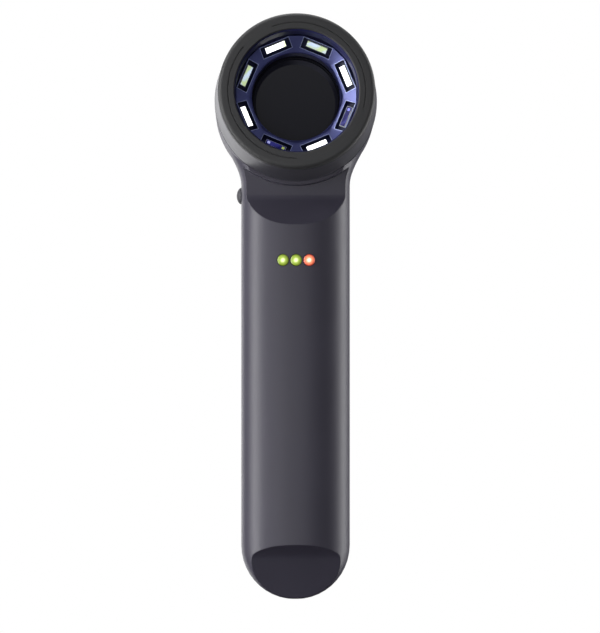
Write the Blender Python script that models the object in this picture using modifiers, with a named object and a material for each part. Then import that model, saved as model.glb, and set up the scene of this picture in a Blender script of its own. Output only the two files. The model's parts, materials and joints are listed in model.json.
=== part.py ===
"""Handheld illuminated skin magnifier: a battery handle with a lit lens head.

Metres, +Z up along the handle to the head, -Y is the skin side, origin in the
middle of the grip on the handle's axis.
"""
import math

import bmesh
import bpy
from mathutils import Matrix, Vector

COLLECTION_NAME = "skin_magnifier"
CUTTER_NAME = "cutters"

# Handle
HALF_WIDTH = 0.0168
HALF_DEPTH = 0.0125
SECTION_POWER = 2.5
WALL = 0.0018
TAIL_CENTRE_Z = -0.0572
NECK_START_Z = 0.0540
NECK_END_Z = 0.0735
NECK_TOP_Z = 0.0790
NECK_GROWTH = 0.0070
RING_POINTS = 32
GAP = 0.0003

# Thumb scoops: the floor's depth and where each ramp starts and ends
NECK_FLOOR_Y = -0.0068
NECK_FLOOR_Z = 0.0499
NECK_RAMP_Z = 0.0416
TAIL_FLOOR_Y = -0.0086
TAIL_FLOOR_Z = -0.0596
TAIL_END_Y = -0.0012
TAIL_END_Z = -0.0800
TAIL_RAMP_Z = -0.0561
SCOOP_FRONT_Y = -0.0160
WALL_SHIFT_Z = 0.0012

# Head: the optical axis leaves the handle's axis at HEAD_Z, tipped up
HEAD_Z = 0.0790
HEAD_TILT = math.radians(5.0)
HEAD_RADIUS = 0.0249
HEAD_FACE = 0.0070
HEAD_BACK = -0.0140
HEAD_ROUND = 0.0050
HEAD_CAVITY = 0.0227
LIP_RADIUS = 0.0259
PLATE_HOLE = 0.0190
BACK_HOLE = 0.0198
STEPS = 36

# Turned parts of the head, as (radius, place along the optical axis)
DRUM_PROFILE = ((0.0187, 0.0223), (0.0232, 0.0223), (0.0237, 0.0218), (0.0241, 0.0160),
                (0.0248, 0.0073), (0.0186, 0.0073), (0.0186, 0.0095), (0.0202, 0.0095),
                (0.0202, 0.0173), (0.0187, 0.0173))
SEAT_PROFILE = ((0.0187, 0.0250), (0.0224, 0.0250), (0.0232, 0.0244), (0.0236, 0.0234),
                (0.0236, 0.0226), (0.0187, 0.0226))
BARREL_PROFILE = ((0.01605, 0.0096), (0.0172, 0.0096), (0.0172, 0.0049), (0.0224, 0.0049),
                  (0.0224, 0.0032), (0.0172, 0.0032), (0.0172, -0.0125), (0.01605, -0.0125))
CELL_PROFILE = ((0.0137, 0.0093), (0.0158, 0.0093), (0.0158, -0.0108), (0.0147, -0.0108),
                (0.0147, 0.0087), (0.0137, 0.0087))
FOCUS_PROFILE = ((0.0182, -0.0045), (0.0195, -0.0045), (0.0195, -0.0104), (0.0208, -0.0104),
                 (0.0208, -0.0119), (0.0195, -0.0119), (0.0195, -0.0149), (0.0216, -0.0149),
                 (0.0216, -0.0210), (0.0164, -0.0210), (0.0164, -0.0143), (0.0182, -0.0143))
EYE_RIM = (0.0164, 0.0209, -0.0238, -0.0213)

# Lenses: front apex, front rim, back rim and back apex; rings: radii, low end and high end
GLASS_RADIUS = 0.0144
FRONT_LENS = (0.0084, 0.0076, 0.0056, 0.0050)
REAR_LENS = (0.0020, 0.0006, -0.0040, -0.0056)
LENS_SPACER = (0.0134, GLASS_RADIUS, 0.0010, 0.0051)
RETAINING_RING = (0.0126, GLASS_RADIUS, -0.0070, -0.0047)
DRIVE_PIN_RADIUS = 0.0008
DRIVE_PIN_REACH = (0.0153, 0.0179)
DRIVE_PIN_S = -0.0060
PIN_SLOT_LOW = (-0.0190, -0.0011, -0.0101)
PIN_SLOT_HIGH = (0.0190, 0.0011, -0.0049)

# Lamp carrier: lamps lie in pockets on its sloping face
LAMP_COUNT = 8
LAMP_RADIUS = 0.0162
LAMP_FACE_S = 0.0154
CARRIER_INNER = (0.0139, 0.0139)
CARRIER_OUTER = (0.0185, 0.0169)
CARRIER_EDGE = 0.0199
CARRIER_BACK = 0.0115
LAMP_SLOPE = math.atan2(CARRIER_OUTER[1] - CARRIER_INNER[1],
                        CARRIER_OUTER[0] - CARRIER_INNER[0])
POCKET_HALF = (0.0017, 0.0043)
POCKET_DEPTH = 0.0016
LAMP_HALF = (0.0010, 0.00325)
LAMP_LEVELS = (-0.0013, -0.0005)
BOARD_RING = (0.0143, 0.0198, 0.0100, 0.0112)

# The flat lead from the ring board, as (height across the axis, place along it)
FLEX_ROUTE = ((-0.0179, 0.0097), (-0.0179, 0.0020), (-0.0190, 0.0008), (-0.0205, 0.0005))
FLEX_HALF_WIDTH = 0.0030
FLEX_NOTCH_HALF = 0.0034
FLEX_THICKNESS = 0.0003

# Side button
BUTTON_Z = 0.0508
BUTTON_RADIUS = 0.0026
BUTTON_PROUD = 0.0014
BUTTON_FLANGE = 0.0034
BUTTON_FLANGE_X = (0.0139, 0.0144)
SWITCH_LOW = (-0.0131, -0.0020, 0.0488)
SWITCH_HIGH = (-0.0094, 0.0019, 0.0528)
BOARD_LOW = (-0.0110, -0.0036, 0.0240)
BOARD_HIGH = (0.0110, -0.0024, 0.0575)

# Status lights
STATUS_Z = 0.0307
STATUS_PITCH = 0.0040
PIPE_RADIUS = 0.00155
PIPE_HOLE = 0.0018
PIPE_TIP = 0.0127
PIPE_BACK = 0.0049
STATUS_LED_HALF = (0.0008, 0.0005)
STATUS_LED_Y = (-0.0046, -0.0039)

# Battery and charging
CELL_RADIUS = 0.0092
CELL_LENGTH = 0.0650
CELL_BOTTOM_Z = -0.0530
CELL_Y = -0.0008
CELL_NUB = (0.0030, 0.0010)
TRAY_LOW = (-0.0065, 0.0020, -0.0563)
TRAY_HIGH = (0.0065, 0.0098, 0.0158)
TRAY_ROOM_Z = (-0.0551, 0.0146)
CONTACT_HALF = 0.0030
TOP_CONTACT_Z = (0.0133, 0.0138)
LOW_CONTACT_Z = (-0.0542, -0.0535)
SOCKET_SIZE = (0.0089, 0.0032, 0.0073)
SOCKET_TOP_Z = -0.0657
SOCKET_WALL = 0.0004
SOCKET_BACK = 0.0012
SOCKET_HOLE_HALF = (0.0048, 0.0019)
CHARGE_BOARD_LOW = (-0.0060, 0.0020, -0.0685)
CHARGE_BOARD_HIGH = (0.0060, 0.0032, -0.0600)

# Fasteners
CASE_SCREW_PLACES = ((-0.0095, 0.0190), (0.0095, 0.0190),
                     (-0.0092, -0.0615), (0.0092, -0.0615))
DRUM_SCREW_RADIUS = 0.0206
DRUM_SCREW_ANGLES = (90, 210, 330)
DRUM_SCREW_HOLE = 0.0010
MAGNET_RADIUS_AT = 0.02075
MAGNET_ANGLES = (30, 150, 270)
MAGNET_RADIUS = 0.0012
MAGNET_HOLE = 0.0015
MAGNET_S = (0.0196, 0.0222)
BOSS_RADIUS_FRONT = 0.0023
BOSS_RADIUS_REAR = 0.0027
SCREW_BORE = 0.0013
SCREW_SEAT_Y = 0.0085
SCREW_WELL_Y = 0.0082
SCREW_WELL_RADIUS = 0.0023

MATERIALS = {
    "shell": ((0.045, 0.043, 0.058), 0.55, 0.0),
    "drum": ((0.060, 0.060, 0.070), 0.45, 0.0),
    "black": ((0.030, 0.030, 0.034), 0.50, 0.0),
    "carrier": ((0.055, 0.075, 0.300), 0.35, 0.0),
    "lamp": ((0.95, 1.00, 0.80), 0.30, 0.0),
    "glass": ((0.020, 0.018, 0.030), 0.05, 0.0),
    "steel": ((0.60, 0.60, 0.62), 0.30, 1.0),
    "board": ((0.02, 0.16, 0.07), 0.45, 0.0),
    "green": ((0.45, 0.85, 0.10), 0.25, 0.0),
    "red": ((0.95, 0.15, 0.06), 0.25, 0.0),
    "rubber": ((0.025, 0.025, 0.028), 0.80, 0.0),
    "cell": ((0.10, 0.22, 0.45), 0.40, 0.0),
    "tray": ((0.20, 0.20, 0.21), 0.60, 0.0),
    "flex": ((0.45, 0.22, 0.06), 0.50, 0.0),
}


def clear_scene():
    for obj in list(bpy.data.objects):
        bpy.data.objects.remove(obj, do_unlink=True)


def new_collection(name):
    collection = bpy.data.collections.new(name)
    bpy.context.scene.collection.children.link(collection)
    return collection


def material(name):
    """The named finish, made once."""
    found = bpy.data.materials.get(name)
    if found:
        return found
    colour, roughness, metallic = MATERIALS[name]
    made = bpy.data.materials.new(name)
    made.use_nodes = True
    shader = made.node_tree.nodes["Principled BSDF"]
    shader.inputs["Base Color"].default_value = (*colour, 1.0)
    shader.inputs["Roughness"].default_value = roughness
    shader.inputs["Metallic"].default_value = metallic
    return made


def add_object(name, mesh, finish=None, parent=None, matrix=None):
    """A visible part with a finish, or a hidden cutter without one."""
    obj = bpy.data.objects.new(name, mesh)
    if finish:
        parts.objects.link(obj)
        mesh.materials.append(material(finish))
    else:
        cutters.objects.link(obj)
        obj.hide_render = True
        obj.display_type = "WIRE"
    if matrix is not None:
        obj.matrix_local = matrix
    if parent is not None:
        obj.parent = parent
    return obj


def mesh_from(bm, name):
    mesh = bpy.data.meshes.new(name)
    bmesh.ops.recalc_face_normals(bm, faces=bm.faces[:])
    bm.to_mesh(mesh)
    bm.free()
    return mesh


def box(name, low, high, finish=None, parent=None, matrix=None):
    """A box between two corners in its parent's frame."""
    bm = bmesh.new()
    bmesh.ops.create_cube(bm, size=1.0)
    size = [h - l for l, h in zip(low, high)]
    middle = [(h + l) / 2 for l, h in zip(low, high)]
    bmesh.ops.scale(bm, verts=bm.verts[:], vec=size)
    bmesh.ops.translate(bm, verts=bm.verts[:], vec=middle)
    return add_object(name, mesh_from(bm, name), finish, parent, matrix)


def rod(name, radius, start, end, finish=None, parent=None, segments=12):
    """A cylinder between two points in its parent's frame."""
    start, end = Vector(start), Vector(end)
    along = end - start
    bm = bmesh.new()
    bmesh.ops.create_cone(bm, cap_ends=True, segments=segments, radius1=radius,
                          radius2=radius, depth=along.length)
    turn = along.to_track_quat("Z", "Y").to_matrix().to_4x4()
    matrix = Matrix.Translation((start + end) / 2) @ turn
    obj = add_object(name, mesh_from(bm, name), finish, parent, matrix)
    smooth(obj)
    return obj


def smooth(obj, angle=35):
    obj.data.shade_smooth()
    obj.data.set_sharp_from_angle(angle=math.radians(angle))


def turned(name, profile, finish=None, parent=None, closed=True, steps=STEPS, matrix=None):
    """A profile of (radius, height) turned about its parent's Z, outer side top to bottom."""
    bm = bmesh.new()
    points = [bm.verts.new((r, 0.0, s)) for r, s in profile]
    pairs = list(zip(points, points[1:]))
    if closed:
        pairs.append((points[-1], points[0]))
    for first, second in pairs:
        bm.edges.new((first, second))
    mesh = bpy.data.meshes.new(name)
    bm.to_mesh(mesh)
    bm.free()
    obj = add_object(name, mesh, finish, parent, matrix)
    screw = obj.modifiers.new("turn", "SCREW")
    screw.steps = screw.render_steps = steps
    screw.use_merge_vertices = True
    screw.merge_threshold = 0.00001
    screw.use_smooth_shade = True
    return obj


def ring(r_in, r_out, low, high):
    """The profile of a plain ring."""
    return [(r_in, high), (r_out, high), (r_out, low), (r_in, low)]


def cut(obj, cutter, operation="DIFFERENCE"):
    step = obj.modifiers.new(operation.lower(), "BOOLEAN")
    step.operation = operation
    step.solver = "EXACT"
    step.object = cutter


def outline_solid(name, points, half_thickness):
    """A flat outline of (y, z) points, made thick along X and turned into a mesh cutter."""
    curve = bpy.data.curves.new(name + "_curve", "CURVE")
    curve.dimensions = "2D"
    curve.fill_mode = "BOTH"
    curve.extrude = half_thickness
    spline = curve.splines.new("POLY")
    spline.points.add(len(points) - 1)
    for point, (y, z) in zip(spline.points, points):
        point.co = (y, z, 0.0, 1.0)
    spline.use_cyclic_u = True
    source = bpy.data.objects.new(name + "_curve", curve)
    cutters.objects.link(source)
    source.matrix_world = Matrix(((0, 0, 1, 0), (1, 0, 0, 0), (0, 1, 0, 0), (0, 0, 0, 1)))
    bpy.context.view_layer.update()
    evaluated = source.evaluated_get(bpy.context.evaluated_depsgraph_get())
    mesh = bpy.data.meshes.new_from_object(evaluated)
    matrix = source.matrix_world.copy()
    bpy.data.objects.remove(source, do_unlink=True)
    bm = bmesh.new()
    bm.from_mesh(mesh)
    bmesh.ops.remove_doubles(bm, verts=bm.verts[:], dist=0.00001)
    bmesh.ops.recalc_face_normals(bm, faces=bm.faces[:])
    bm.to_mesh(mesh)
    bm.free()
    return add_object(name, mesh, matrix=matrix)


def neck_half_width(z):
    """The casing's half width, which swells from the handle into the head."""
    t = min(max((z - NECK_START_Z) / (NECK_END_Z - NECK_START_Z), 0.0), 1.0)
    return HALF_WIDTH + NECK_GROWTH * t * t * (3.0 - 2.0 * t)


def stations():
    """Heights of the casing's rings, each with its half width and half depth."""
    found = []
    for degrees in (14, 28, 42, 58, 74):
        share = math.sin(math.radians(degrees))
        drop = math.cos(math.radians(degrees))
        found.append((TAIL_CENTRE_Z - HALF_WIDTH * drop, HALF_WIDTH * share, HALF_DEPTH * share))
    for z in (TAIL_CENTRE_Z, 0.0, NECK_START_Z):
        found.append((z, HALF_WIDTH, HALF_DEPTH))
    count = 8
    for i in range(1, count + 1):
        z = NECK_START_Z + (NECK_END_Z - NECK_START_Z) * i / count
        found.append((z, neck_half_width(z), HALF_DEPTH))
    found.append((NECK_TOP_Z, neck_half_width(NECK_TOP_Z), HALF_DEPTH))
    return found


def casing_loft(name, inset):
    """The handle and neck as rings of a rounded section, drawn in by inset."""
    bm = bmesh.new()
    rings = []
    for z, width, depth in stations():
        shrink = 1.0 - inset / HALF_WIDTH
        centre = TAIL_CENTRE_Z
        height = centre + (z - centre) * shrink if z < centre else z
        half_width = width * shrink if z < centre else width - inset
        half_depth = depth * (1.0 - inset / HALF_DEPTH)
        loop = []
        for i in range(RING_POINTS):
            angle = 2.0 * math.pi * (i + 0.5) / RING_POINTS
            c, s = math.cos(angle), math.sin(angle)
            x = half_width * math.copysign(abs(c) ** (2.0 / SECTION_POWER), c)
            y = half_depth * math.copysign(abs(s) ** (2.0 / SECTION_POWER), s)
            loop.append(bm.verts.new((x, y, height)))
        rings.append(loop)
    for lower, upper in zip(rings, rings[1:]):
        for i in range(RING_POINTS):
            j = (i + 1) % RING_POINTS
            bm.faces.new((lower[i], lower[j], upper[j], upper[i]))
    bm.faces.new(rings[0][::-1])
    bm.faces.new(rings[-1])
    return mesh_from(bm, name)


def scoop_points(shift_y, shift_z):
    """Side outlines of the neck scoop and the tail scoop, moved inwards by the wall."""
    neck_slope = (NECK_FLOOR_Z - NECK_RAMP_Z) / (NECK_FLOOR_Y + HALF_DEPTH)
    tail_slope = (TAIL_FLOOR_Z - TAIL_RAMP_Z) / (TAIL_FLOOR_Y + HALF_DEPTH)
    reach = -HALF_DEPTH - SCOOP_FRONT_Y
    top = 0.090
    neck = [(NECK_FLOOR_Y, NECK_FLOOR_Z), (NECK_FLOOR_Y, top), (SCOOP_FRONT_Y, top),
            (SCOOP_FRONT_Y, NECK_RAMP_Z - reach * neck_slope)]
    tail = [(TAIL_FLOOR_Y, TAIL_FLOOR_Z), (SCOOP_FRONT_Y, TAIL_RAMP_Z - reach * tail_slope),
            (SCOOP_FRONT_Y, TAIL_END_Z), (TAIL_END_Y, TAIL_END_Z)]
    neck = [(y + shift_y, z - shift_z) for y, z in neck]
    tail = [(y + shift_y, z + shift_z) for y, z in tail]
    return neck, tail


def head_profile(radius, front, back, rounding):
    """A round head body: flat front, cylinder wall, rounded back edge."""
    profile = [(0.0, front), (radius, front)]
    for i in range(5):
        angle = math.radians(22.5 * i)
        profile.append((radius - rounding + rounding * math.cos(angle),
                        back + rounding - rounding * math.sin(angle)))
    profile.append((0.0, back))
    return profile


def make_cavity():
    """The room inside the casing, as one cutter."""
    cavity = add_object("cavity", casing_loft("cavity", WALL))
    neck, tail = scoop_points(WALL, WALL_SHIFT_Z)
    cut(cavity, outline_solid("neck_room_cut", neck, 0.035))
    cut(cavity, outline_solid("tail_room_cut", tail, 0.035))
    head_room = turned("head_room", head_profile(HEAD_CAVITY, HEAD_FACE, HEAD_BACK + WALL,
                                                 0.0025), parent=axis, closed=False)
    cut(cavity, head_room, "UNION")
    cut(cavity, box("front_room_cut", (-0.03, -0.03, HEAD_FACE - WALL), (0.03, 0.03, 0.04),
                    parent=axis))
    return cavity


def make_shells():
    """The two halves of the casing, with their bosses and openings."""
    cavity = make_cavity()
    neck, tail = scoop_points(0.0, 0.0)
    neck_cut = outline_solid("neck_scoop_cut", neck, 0.035)
    lip = rod("lip_guard", LIP_RADIUS, (0, 0, -0.02), (0, 0, 0.03), parent=axis, segments=48)
    cut(neck_cut, lip)
    tail_cut = outline_solid("tail_scoop_cut", tail, 0.035)
    face_cut = box("face_cut", (-0.03, -0.0272, HEAD_FACE), (0.03, 0.03, 0.04), parent=axis)
    head = turned("head_body", head_profile(HEAD_RADIUS, HEAD_FACE + WALL, HEAD_BACK, HEAD_ROUND),
                  parent=axis, closed=False, steps=40)
    front_hole = rod("plate_hole_cut", PLATE_HOLE, (0, 0, 0), (0, 0, 0.02), parent=axis,
                     segments=STEPS)
    back_hole = rod("back_hole_cut", BACK_HOLE, (0, 0, -0.03), (0, 0, -0.005), parent=axis,
                    segments=STEPS)
    button_hole = rod("button_hole_cut", BUTTON_RADIUS + GAP, (-0.02, 0, BUTTON_Z),
                      (-0.0135, 0, BUTTON_Z), segments=24)
    half_x, half_y = SOCKET_HOLE_HALF
    socket_hole = box("socket_hole_cut", (-half_x, -half_y, -0.078), (half_x, half_y, -0.0645))
    pipe_holes = [rod(f"pipe_hole_cut_{i + 1}", PIPE_HOLE, (x, -0.02, STATUS_Z),
                      (x, -0.008, STATUS_Z)) for i, x in enumerate(status_places())]
    drum_holes = [rod(f"plate_screw_cut_{i + 1}", DRUM_SCREW_HOLE, (*place, 0.0),
                      (*place, 0.012), parent=axis)
                  for i, place in enumerate(drum_screw_places())]
    shells = (("front_shell", -1.0), ("rear_shell", 1.0))
    for name, side in shells:
        shell = add_object(name, casing_loft(name, 0.0), "shell")
        cut(shell, head, "UNION")
        cut(shell, neck_cut)
        cut(shell, face_cut)
        cut(shell, tail_cut)
        cut(shell, cavity)
        for i, (x, z) in enumerate(CASE_SCREW_PLACES):
            radius = BOSS_RADIUS_FRONT if side < 0 else BOSS_RADIUS_REAR
            end = side * boss_end(side, z)
            boss = rod(f"{name}_boss_{i + 1}", radius, (x, 0.0, z), (x, end, z))
            cut(shell, boss, "UNION")
        other = box(f"{name}_half_cut", (-0.04, -0.05 if side > 0 else -GAP / 2, -0.09),
                    (0.04, GAP / 2 if side > 0 else 0.05, 0.12))
        cut(shell, other)
        for x, z in CASE_SCREW_PLACES:
            reach = SCREW_SEAT_Y - screw_length(z) - 0.0004 if side < 0 else 0.02
            cut(shell, rod(f"{name}_screw_cut", SCREW_BORE, (x, -side * 0.001, z), (x, reach, z)))
            if side > 0:
                cut(shell, rod("screw_well_cut", SCREW_WELL_RADIUS, (x, SCREW_WELL_Y, z),
                               (x, 0.02, z)))
        for cutter in [button_hole, socket_hole]:
            cut(shell, cutter)
        if side < 0:
            for cutter in [front_hole, *pipe_holes, *drum_holes]:
                cut(shell, cutter)
        else:
            cut(shell, back_hole)
        smooth(shell)


def boss_end(side, z):
    """How far a screw boss runs into the wall, less near the tail."""
    if side < 0:
        return 0.0094 if z > 0 else 0.0062
    return 0.0093 if z > 0 else 0.0087


def screw_length(z):
    """The case screws near the tail are shorter, because the scoop is deep there."""
    return 0.0155 if z > 0 else 0.0135


def status_places():
    return (-STATUS_PITCH, 0.0, STATUS_PITCH)


def around(radius, degrees):
    angle = math.radians(degrees)
    return radius * math.cos(angle), radius * math.sin(angle)


def drum_screw_places():
    return [around(DRUM_SCREW_RADIUS, degrees) for degrees in DRUM_SCREW_ANGLES]


def make_drum():
    """The front of the head: a slightly tapered barrel with an inner liner and magnets."""
    drum = turned("head_drum", DRUM_PROFILE, "drum", axis)
    for i, place in enumerate(drum_screw_places()):
        cut(drum, rod(f"drum_screw_cut_{i + 1}", DRUM_SCREW_HOLE, (*place, 0.005),
                      (*place, 0.0100), parent=axis))
    for i, degrees in enumerate(MAGNET_ANGLES):
        place = around(MAGNET_RADIUS_AT, degrees)
        cut(drum, rod(f"magnet_cut_{i + 1}", MAGNET_HOLE, (*place, MAGNET_S[0] - GAP),
                      (*place, 0.0240), parent=axis))
        rod(f"seat_magnet_{i + 1}", MAGNET_RADIUS, (*place, MAGNET_S[0]),
            (*place, MAGNET_S[1]), "steel", axis)
    turned("seat_ring", SEAT_PROFILE, "black", axis)
    for i, place in enumerate(drum_screw_places()):
        screw(f"drum_screw_{i + 1}", (*place, 0.0029), (0, 0, 1), 0.0015, 0.0010,
              0.0007, 0.0063, axis)


def screw(name, seat, direction, head_radius, head_height, shank_radius, length, parent=None):
    """A pan screw whose head sits at seat, with its shank along direction."""
    turn = Vector(direction).to_track_quat("Z", "Y").to_matrix().to_4x4()
    turned(name, [(0.0, length), (shank_radius, length), (shank_radius, 0.0),
                  (head_radius, 0.0), (head_radius, -head_height), (0.0, -head_height)],
           "steel", parent, closed=False, steps=10, matrix=Matrix.Translation(seat) @ turn)


def make_lamps():
    """The lamp carrier's cone of pockets, the lamps in them and their ring board."""
    carrier = turned("led_carrier", [CARRIER_INNER, CARRIER_OUTER,
                                     (CARRIER_EDGE, CARRIER_OUTER[1]),
                                     (CARRIER_EDGE, CARRIER_BACK),
                                     (CARRIER_INNER[0], CARRIER_BACK)], "carrier", axis)
    for i in range(LAMP_COUNT):
        degrees = 360.0 / LAMP_COUNT * (i + 0.5)
        place = (Matrix.Rotation(math.radians(degrees), 4, "Z")
                 @ Matrix.Translation((LAMP_RADIUS, 0.0, LAMP_FACE_S))
                 @ Matrix.Rotation(-LAMP_SLOPE, 4, "Y"))
        across, along = POCKET_HALF
        pocket = box(f"pocket_cut_{i + 1}", (-across, -along, -POCKET_DEPTH),
                     (across, along, 0.002), parent=axis, matrix=place)
        cut(carrier, pocket)
        across, along = LAMP_HALF
        low, high = LAMP_LEVELS
        box(f"illumination_led_{i + 1}", (-across, -along, low), (across, along, high),
            "lamp", axis, place)
    board = turned("led_board", ring(*BOARD_RING), "board", axis)
    cut(board, box("board_notch_cut", (-FLEX_NOTCH_HALF, -0.022, 0.009),
                   (FLEX_NOTCH_HALF, -0.0183, 0.012), parent=axis))


def lens_profile(front_apex, front_rim, back_rim, back_apex, radius):
    """A lens section from its front pole over the rim to its back pole."""
    steps = 4
    front = [(radius * i / steps, front_rim + (front_apex - front_rim) * (1 - (i / steps) ** 2))
             for i in range(steps + 1)]
    back = [(radius * i / steps, back_rim + (back_apex - back_rim) * (1 - (i / steps) ** 2))
            for i in range(steps + 1)]
    return front + back[::-1]


def make_lens_pack():
    """The fixed barrel, the sliding cell and what the cell holds."""
    barrel = turned("lens_barrel", BARREL_PROFILE, "tray", axis)
    cut(barrel, box("barrel_slot_cut", PIN_SLOT_LOW, PIN_SLOT_HIGH, parent=axis))
    cut(barrel, box("flex_notch_cut", (-FLEX_NOTCH_HALF, -0.024, 0.002),
                    (FLEX_NOTCH_HALF, -0.0175, 0.006), parent=axis))
    for i, place in enumerate(drum_screw_places()):
        cut(barrel, rod(f"flange_cut_{i + 1}", DRUM_SCREW_HOLE, (*place, 0.002),
                        (*place, 0.006), parent=axis))
    cell = turned("lens_cell", CELL_PROFILE, "black", axis)
    inner, outer = DRIVE_PIN_REACH
    for side in (-1, 1):
        pin = rod("drive_pin", DRIVE_PIN_RADIUS, (side * inner, 0, DRIVE_PIN_S),
                  (side * outer, 0, DRIVE_PIN_S), parent=axis)
        cut(cell, pin, "UNION")
    turned("front_lens", lens_profile(*FRONT_LENS, GLASS_RADIUS), "glass", axis, closed=False)
    turned("lens_spacer", ring(*LENS_SPACER), "black", axis)
    turned("rear_lens", lens_profile(*REAR_LENS, GLASS_RADIUS), "glass", axis, closed=False)
    turned("retaining_ring", ring(*RETAINING_RING), "black", axis)


def make_focus_ring():
    """The ring on the eye side, its sleeve in the casing and its soft rim."""
    turned("focus_ring", FOCUS_PROFILE, "black", axis)
    turned("eyepiece_rim", ring(*EYE_RIM), "rubber", axis)


def make_controls():
    """The side button, its switch, the main board and the status lights."""
    across = Matrix.Translation((0.0, 0.0, BUTTON_Z)) @ Matrix.Rotation(-math.pi / 2, 4, "Y")
    tip = HALF_WIDTH + BUTTON_PROUD
    inner, outer = BUTTON_FLANGE_X
    turned("button_cap", [(0.0, tip), (0.0009, tip - 0.0001), (0.0017, tip - 0.0005),
                          (0.0023, tip - 0.0011), (BUTTON_RADIUS, tip - 0.0018),
                          (BUTTON_RADIUS, outer), (BUTTON_FLANGE, outer),
                          (BUTTON_FLANGE, inner), (0.0, inner)],
           "rubber", closed=False, steps=16, matrix=across)
    box("tact_switch", SWITCH_LOW, SWITCH_HIGH, "steel")
    box("main_board", BOARD_LOW, BOARD_HIGH, "board")
    finishes = ("green", "green", "red")
    for i, (x, finish) in enumerate(zip(status_places(), finishes)):
        half_x, half_z = STATUS_LED_HALF
        front_y, back_y = STATUS_LED_Y
        box(f"status_led_{i + 1}", (x - half_x, front_y, STATUS_Z - half_z),
            (x + half_x, back_y, STATUS_Z + half_z), "lamp")
        forward = Matrix.Translation((x, 0.0, STATUS_Z)) @ Matrix.Rotation(math.pi / 2, 4, "X")
        turned(f"light_pipe_{i + 1}", [(0.0, PIPE_TIP), (0.0008, PIPE_TIP - 0.0001),
                                       (0.0013, PIPE_TIP - 0.0004),
                                       (PIPE_RADIUS, PIPE_TIP - 0.0008),
                                       (PIPE_RADIUS, PIPE_BACK), (0.0, PIPE_BACK)],
               finish, closed=False, steps=12, matrix=forward)


def make_flex():
    """The flat lead from the ring board, along the barrel and down to the main board."""
    bm = bmesh.new()
    before = None
    for height, s in FLEX_ROUTE:
        pair = [bm.verts.new((x, height, s)) for x in (-FLEX_HALF_WIDTH, FLEX_HALF_WIDTH)]
        if before:
            bm.faces.new((before[0], before[1], pair[1], pair[0]))
        before = pair
    mesh = mesh_from(bm, "led_flex")
    flex = add_object("led_flex", mesh, "flex", axis)
    thick = flex.modifiers.new("thickness", "SOLIDIFY")
    thick.thickness = FLEX_THICKNESS
    thick.offset = 0.0


def make_battery():
    """The cell in its tray, its spring and contact, and the charging socket."""
    cell_top = CELL_BOTTOM_Z + CELL_LENGTH
    nub_radius, nub_height = CELL_NUB
    turned("battery_cell", [(0.0, cell_top + nub_height), (nub_radius, cell_top + nub_height),
                            (nub_radius, cell_top), (CELL_RADIUS, cell_top),
                            (CELL_RADIUS, CELL_BOTTOM_Z), (0.0, CELL_BOTTOM_Z)],
           "cell", closed=False, steps=24, matrix=Matrix.Translation((0.0, CELL_Y, 0.0)))
    tray = box("battery_tray", TRAY_LOW, TRAY_HIGH, "tray")
    low, high = TRAY_ROOM_Z
    cut(tray, rod("tray_cut", CELL_RADIUS + GAP, (0, CELL_Y, low), (0, CELL_Y, high),
                  segments=32))
    for name, (low, high) in (("tray_contact", TOP_CONTACT_Z), ("tray_spring", LOW_CONTACT_Z)):
        box(name, (-CONTACT_HALF, -CONTACT_HALF, low), (CONTACT_HALF, CONTACT_HALF, high),
            "steel")
    width, depth, length = SOCKET_SIZE
    socket = box("usb_socket", (-width / 2, -depth / 2, SOCKET_TOP_Z - length),
                 (width / 2, depth / 2, SOCKET_TOP_Z), "steel")
    inner_x, inner_y = width / 2 - SOCKET_WALL, depth / 2 - SOCKET_WALL
    cut(socket, box("socket_cut", (-inner_x, -inner_y, -0.08),
                    (inner_x, inner_y, SOCKET_TOP_Z - SOCKET_BACK)))
    box("charge_board", CHARGE_BOARD_LOW, CHARGE_BOARD_HIGH, "board")
    for i, (x, z) in enumerate(CASE_SCREW_PLACES):
        screw(f"case_screw_{i + 1}", (x, SCREW_SEAT_Y, z), (0, -1, 0), 0.0020, 0.0013,
              0.0010, screw_length(z))


clear_scene()
parts = new_collection(COLLECTION_NAME)
cutters = new_collection(CUTTER_NAME)
axis = bpy.data.objects.new("optical_axis", None)
cutters.objects.link(axis)
axis.matrix_world = (Matrix.Translation((0.0, 0.0, HEAD_Z))
                     @ Matrix.Rotation(math.pi / 2 - HEAD_TILT, 4, "X"))
bpy.context.view_layer.update()
make_shells()
make_drum()
make_lamps()
make_lens_pack()
make_focus_ring()
make_controls()
make_flex()
make_battery()
bpy.context.view_layer.update()
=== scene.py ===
# %% [markdown]
# # A lit skin magnifier
# The object is a hand-held magnifier for looking at skin: a battery handle, a round head at right
# angles to it, and a dark lens with eight lamps round it. The working model is loaded first and is
# never changed. Every outer piece is then modelled again, finer, around it, so that the working
# model keeps the sizes and the joints, and the new pieces carry the looks.

# %% Load the working model and keep its size
import json
import math

import bpy
from mathutils import Matrix, Vector


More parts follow.
